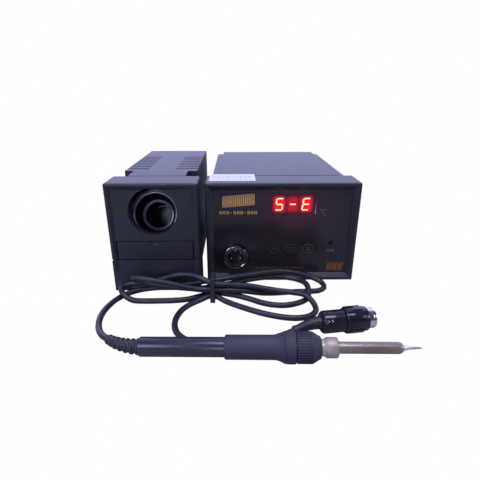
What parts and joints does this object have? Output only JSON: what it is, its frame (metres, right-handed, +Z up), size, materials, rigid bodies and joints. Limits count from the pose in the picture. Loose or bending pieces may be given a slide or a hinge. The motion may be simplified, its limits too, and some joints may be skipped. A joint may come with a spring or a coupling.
{
  "type": "soldering iron station",
  "caption": "Bench soldering station: control box with display and keys, iron holder box with sponge drawer, and an iron with a tied cord and plug.",
  "frame": {"origin": "middle of the base of the two boxes and the iron, on the table, without the cord and plug", "axes": "+X to the right and +Y to the back as seen from the front, +Z up"},
  "size_m": [0.2449, 0.332, 0.1054],
  "materials": {
    "black_abs": "fine satin moulded ABS, black",
    "panel_gloss": "glossy printed overlay, black",
    "gloss_black": "polished phenolic and nylon, black",
    "dark_plastic": "dark moulded plastic",
    "key_grey": "dark grey key caps",
    "red_window": "clear red acrylic window",
    "black_chrome": "dark plated ring",
    "chrome": "plated metal",
    "nickel": "nickel plated, satin, slightly heat tinted",
    "steel": "bare steel, heat tinted on the barrel",
    "aluminium": "extruded aluminium",
    "copper": "enamelled copper winding",
    "brass": "trimmer rotor",
    "ceramic": "ceramic heater rod",
    "board_green": "solder-masked circuit board",
    "rubber": "black rubber",
    "grip_rubber": "soft matte grip rubber, blue-black",
    "cord_black": "black flexible cord sheath",
    "sponge_yellow": "damp cellulose sponge, yellow"
  },
  "bodies": {
    "boxes": {"front_frame": "black_abs", "front_panel": "panel_gloss", "display_window": "red_window", "display_module": "dark_plastic", "key_board": "board_green", "socket_ring": "black_chrome", "iron_socket": "steel", "socket_insert": "dark_plastic", "socket_pins": "chrome", "station_base": "black_abs", "station_cover": "black_abs", "rear_panel": "black_abs", "power_inlet": "dark_plastic", "switch_frame": "dark_plastic", "fuse_holder": "dark_plastic", "transformer_core": "steel", "transformer_winding": "copper", "main_board": "board_green", "filter_capacitor": "dark_plastic", "heatsink": "aluminium", "station_foot_front_left": "rubber", "station_foot_front_right": "rubber", "station_foot_rear_left": "rubber", "station_foot_rear_right": "rubber", "holder_front": "black_abs", "iron_rest": "gloss_black", "rest_cup": "chrome", "holder_cover": "black_abs", "holder_base": "black_abs", "holder_foot_front_left": "rubber", "holder_foot_front_right": "rubber", "holder_foot_rear_left": "rubber", "holder_foot_rear_right": "rubber"},
    "key_up": {"key_up": "key_grey"},
    "key_down": {"key_down": "key_grey"},
    "key_set": {"key_set": "key_grey"},
    "cal_trimmer": {"cal_trimmer": "brass"},
    "power_rocker": {"power_rocker": "panel_gloss"},
    "fuse_cap": {"fuse_cap": "dark_plastic"},
    "sponge_drawer": {"sponge_drawer": "black_abs", "sponge": "sponge_yellow"},
    "iron": {"handle_tube": "gloss_black", "iron_grip": "grip_rubber", "iron_cap": "grip_rubber", "heater_mount": "steel", "heater": "ceramic", "strain_relief": "rubber", "cord": "cord_black", "cord_tie": "gloss_black", "plug_boot": "gloss_black", "plug_body": "gloss_black", "plug_shell": "chrome", "plug_insert": "dark_plastic"},
    "barrel": {"barrel_nut": "nickel", "iron_barrel": "steel", "iron_tip": "nickel"},
    "plug_ring": {"plug_ring": "gloss_black"}
  },
  "joints": [
    {"name": "key_up_press", "type": "slide", "parent": "boxes", "child": "key_up", "axis": [0, 1, 0], "range_m": [0, 0.0005], "stiffness_N_per_m": 300},
    {"name": "key_down_press", "type": "slide", "parent": "boxes", "child": "key_down", "axis": [0, 1, 0], "range_m": [0, 0.0005], "stiffness_N_per_m": 300},
    {"name": "key_set_press", "type": "slide", "parent": "boxes", "child": "key_set", "axis": [0, 1, 0], "range_m": [0, 0.0005], "stiffness_N_per_m": 300},
    {"name": "trimmer_turn", "type": "hinge", "parent": "boxes", "child": "cal_trimmer", "pos_m": [0.08723, -0.02524, 0.04], "axis": [0, 1, 0], "range_deg": [-135, 135]},
    {"name": "rocker_tilt", "type": "hinge", "parent": "boxes", "child": "power_rocker", "pos_m": [0.03814, 0.15646, 0.028], "axis": [1, 0, 0], "range_deg": [-20, 0]},
    {"name": "fuse_cap_turn", "type": "hinge", "parent": "boxes", "child": "fuse_cap", "pos_m": [0.00214, 0.15716, 0.028], "axis": [0, 1, 0], "range_deg": [0, 60]},
    {"name": "drawer_slide", "type": "slide", "parent": "boxes", "child": "sponge_drawer", "axis": [0, -1, 0], "range_m": [0, 0.03]},
    {"name": "iron_lift", "type": "slide", "parent": "boxes", "child": "iron", "axis": [0, 0, 1], "range_m": [0, 0.12]},
    {"name": "barrel_nut_turn", "type": "hinge", "parent": "iron", "child": "barrel", "pos_m": [-0.07637, -0.14563, 0.0074], "axis": [0.9966, -0.0723, 0.0387], "continuous": true},
    {"name": "plug_ring_turn", "type": "hinge", "parent": "iron", "child": "plug_ring", "pos_m": [0.05964, -0.12173, 0.01085], "axis": [0.9888, 0.1495, 0], "continuous": true}
  ]
}
